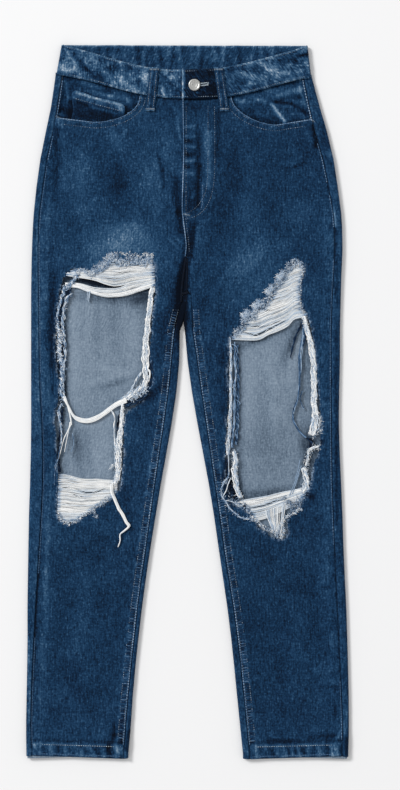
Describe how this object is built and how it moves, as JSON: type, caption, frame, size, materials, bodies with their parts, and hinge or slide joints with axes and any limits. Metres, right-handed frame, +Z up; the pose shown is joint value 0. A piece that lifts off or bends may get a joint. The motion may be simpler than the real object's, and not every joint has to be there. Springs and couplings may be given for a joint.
{
  "type": "ripped jeans",
  "caption": "High-waisted ankle jeans laid flat, front side up, with torn thighs and knees, bare weft threads, five-pocket cut, fly and button.",
  "frame": {"origin": "on the surface under the middle of the outline", "axes": "+X across the garment towards the wearer's left leg, +Y from the hems to the waist, +Z up from the surface, out of the front of the garment"},
  "size_m": [0.4525, 1, 0.0136],
  "materials": {
    "denim": "washed dark blue twill with faded thighs",
    "pocket_denim": "unfaded dark blue twill",
    "band_denim": "mottled, worn dark blue twill",
    "weft": "bare off-white cotton yarns",
    "fray": "frayed blue and white cotton fringe",
    "zip_tape": "dark woven tape",
    "button_metal": "dull silver tack button"
  },
  "bodies": {
    "root": {"front_right": "denim", "front_left": "denim", "back_right": "denim", "back_left": "denim", "yoke_right": "denim", "yoke_left": "denim", "hem_right": "denim", "hem_left": "denim", "waistband": "band_denim", "pocket_facing_right": "pocket_denim", "pocket_facing_left": "pocket_denim", "coin_pocket": "pocket_denim", "back_pocket_right": "denim", "back_pocket_left": "denim", "belt_loop_front_right": "denim", "belt_loop_front_left": "denim", "belt_loop_back_right": "denim", "belt_loop_back_centre": "denim", "belt_loop_back_left": "denim", "zip": "zip_tape", "button": "button_metal", "right_weft_top": "weft", "right_weft_strip": "weft", "right_weft_strand": "weft", "right_weft_bottom": "weft", "right_fray_outer": "fray", "right_fray_lower": "fray", "right_fray_inner": "fray", "right_fray_ladder": "fray", "loose_yarn": "weft", "left_weft_top": "weft", "left_weft_bottom": "weft", "left_fray_inner": "fray", "left_fray_outer": "fray", "left_fray_roll": "fray"}
  },
  "joints": []
}
